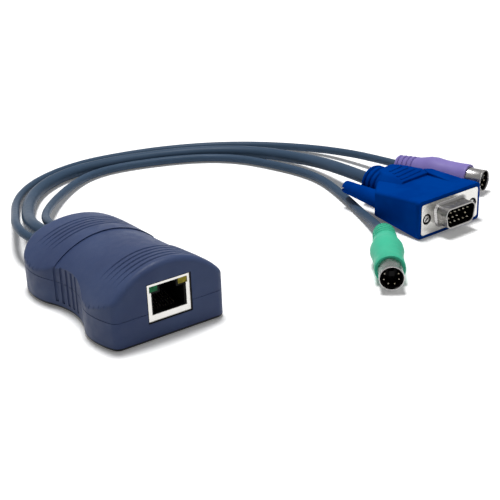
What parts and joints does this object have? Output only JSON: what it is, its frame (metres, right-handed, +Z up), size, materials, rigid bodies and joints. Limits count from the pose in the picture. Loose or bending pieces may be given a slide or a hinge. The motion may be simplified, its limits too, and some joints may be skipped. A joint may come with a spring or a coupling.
{
  "type": "kvm dongle",
  "caption": "Waisted moulded signal module with a shielded eight-way socket in front and three fixed cables to a video plug and two round peripheral plugs.",
  "frame": {"origin": "on the ground under the middle of the housing", "axes": "+Y along the housing from its socket face to its cable end, +X to the right seen from the socket side, +Z up"},
  "size_m": [0.1959, 0.1927, 0.027],
  "materials": {
    "case_blue": "fine moulded texture, satin",
    "plated_steel": "nickel plated sheet",
    "black_plastic": "satin",
    "gold": "gold flashed",
    "green_lens": "clear tinted",
    "yellow_lens": "clear tinted",
    "board_green": "solder mask",
    "chip_black": "moulded epoxy",
    "capacitor_can": "satin",
    "screw_steel": "zinc plated",
    "cable_grey": "smooth soft vinyl",
    "white_nylon": "satin",
    "hood_blue": "satin vinyl",
    "purple_boot": "satin vinyl",
    "green_boot": "satin vinyl"
  },
  "bodies": {
    "module": {"case_top": "case_blue", "case_bottom": "case_blue", "rj45_shield": "plated_steel", "rj45_housing": "black_plastic", "rj45_contacts": "gold", "led_green": "green_lens", "led_yellow": "yellow_lens", "circuit_board": "board_green", "controller_chip": "chip_black", "interface_chip": "chip_black", "memory_chip": "chip_black", "crystal": "plated_steel", "capacitors": "capacitor_can", "case_screws": "screw_steel", "cable_gland": "cable_grey", "video_header": "white_nylon", "keyboard_header": "white_nylon", "mouse_header": "white_nylon", "vga_hood": "hood_blue", "vga_shell": "plated_steel", "vga_insulator": "black_plastic", "vga_pins": "gold", "keyboard_boot": "purple_boot", "keyboard_shell": "plated_steel", "keyboard_insulator": "black_plastic", "keyboard_pins": "gold", "mouse_boot": "green_boot", "mouse_shell": "plated_steel", "mouse_insulator": "black_plastic", "mouse_pins": "gold", "video_cable": "cable_grey", "keyboard_cable": "cable_grey", "mouse_cable": "cable_grey"},
    "thumbscrew_left": {"thumbscrew_left_shaft": "screw_steel", "thumbscrew_left_grip": "hood_blue"},
    "thumbscrew_right": {"thumbscrew_right_shaft": "screw_steel", "thumbscrew_right_grip": "hood_blue"}
  },
  "joints": [
    {"name": "thumbscrew_left_turn", "type": "hinge", "parent": "module", "child": "thumbscrew_left", "pos_m": [0.11703, -0.00941, 0.00796], "axis": [-0.0393, 0.9991, 0.0157], "continuous": true},
    {"name": "thumbscrew_right_turn", "type": "hinge", "parent": "module", "child": "thumbscrew_right", "pos_m": [0.142, -0.00843, 0.00796], "axis": [-0.0393, 0.9991, 0.0157], "continuous": true}
  ]
}
